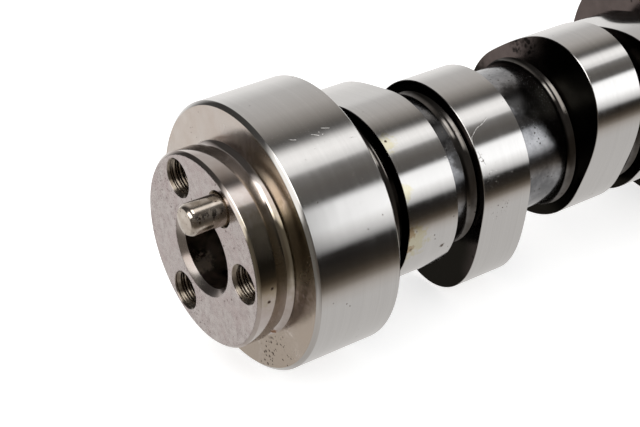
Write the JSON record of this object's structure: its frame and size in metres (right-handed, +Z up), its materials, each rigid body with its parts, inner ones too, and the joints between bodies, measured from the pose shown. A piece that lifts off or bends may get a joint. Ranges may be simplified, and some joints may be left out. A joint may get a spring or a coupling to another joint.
{
  "type": "camshaft",
  "caption": "Steel roller camshaft with ground bearing journals and lobes, and a stepped nose with tapped holes and a locating pin for the timing sprocket.",
  "frame": {"origin": "middle of the nose's front face, where the timing sprocket is bolted on", "axes": "+X along the axis of rotation towards the rear, +Z up; the dowel pin is on the front, above and to the right of the axis as seen from the front"},
  "size_m": [0.4815, 0.055, 0.055],
  "materials": {
    "shaft_steel": "ground and polished bearing surfaces, dark oiled core",
    "pin_steel": "hardened, dull burnished"
  },
  "bodies": {
    "root": {"camshaft": "shaft_steel", "dowel_pin": "pin_steel"}
  },
  "joints": []
}
